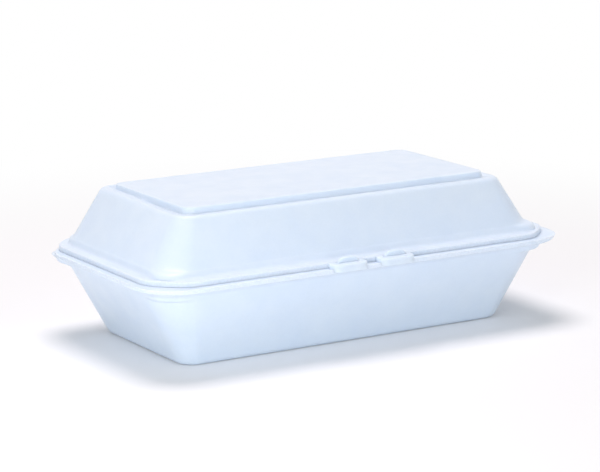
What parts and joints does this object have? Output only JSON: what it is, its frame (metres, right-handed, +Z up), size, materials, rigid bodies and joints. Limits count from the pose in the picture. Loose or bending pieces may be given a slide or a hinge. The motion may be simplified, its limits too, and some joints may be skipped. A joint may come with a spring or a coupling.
{
  "type": "foam clamshell container",
  "caption": "Long rectangular foam food container with sloped walls, flat rims, a lid on a living hinge at the back and a tongue-and-slot closure at the front.",
  "frame": {"origin": "below the middle of the closed container, on the plane it stands on", "axes": "+X along the length, -Y towards the front with the closure, +Y towards the hinge, +Z up"},
  "size_m": [0.248, 0.135, 0.079],
  "materials": {
    "foam": "white polystyrene foam sheet with a smooth, slightly glossy skin"
  },
  "bodies": {
    "tray": {"tray": "foam"},
    "lid": {"lid": "foam"}
  },
  "joints": [
    {"name": "lid_hinge", "type": "hinge", "parent": "tray", "child": "lid", "pos_m": [0, 0.0678, 0.0455], "axis": [-1, 0, 0], "range_deg": [0, 179]}
  ]
}
